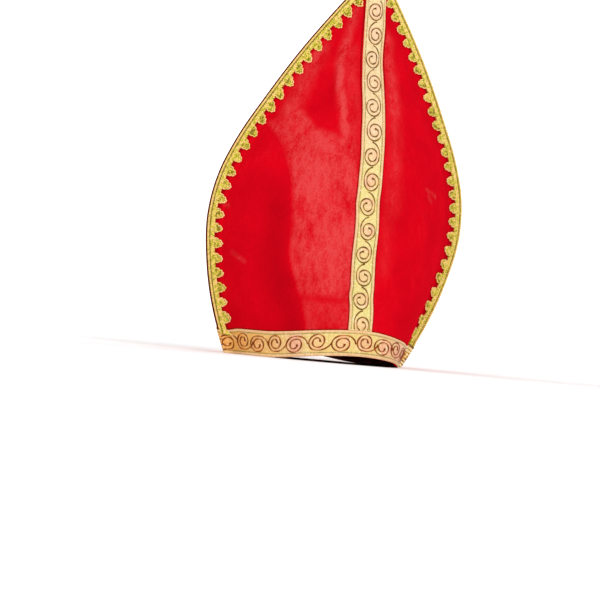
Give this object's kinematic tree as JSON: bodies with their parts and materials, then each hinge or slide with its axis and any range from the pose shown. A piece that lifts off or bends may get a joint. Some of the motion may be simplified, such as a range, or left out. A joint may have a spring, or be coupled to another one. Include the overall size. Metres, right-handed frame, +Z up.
{
  "type": "mitre hat",
  "caption": "Tall pointed mitre hat of stiffened red velour, hollow and open at the rim, with gold scroll ribbon round the rim and up the front and scalloped gold braid on its edges.",
  "frame": {"origin": "the middle of the bounding box, on the plane that the rim rests on", "axes": "+Z up to the peak, -Y out of the front, -X to the wearer's right"},
  "size_m": [0.2687, 0.212, 0.39],
  "materials": {
    "red_velour": "stiffened red velour with a short shiny pile",
    "gold_galloon": "woven metallic gold ribbon with a running scroll",
    "gold_gimp": "looped metallic gold braid"
  },
  "bodies": {
    "root": {"panel_front": "red_velour", "panel_back": "red_velour", "band_front": "gold_galloon", "band_back": "gold_galloon", "strip_front": "gold_galloon", "trim_right": "gold_gimp", "trim_left": "gold_gimp"}
  },
  "joints": []
}
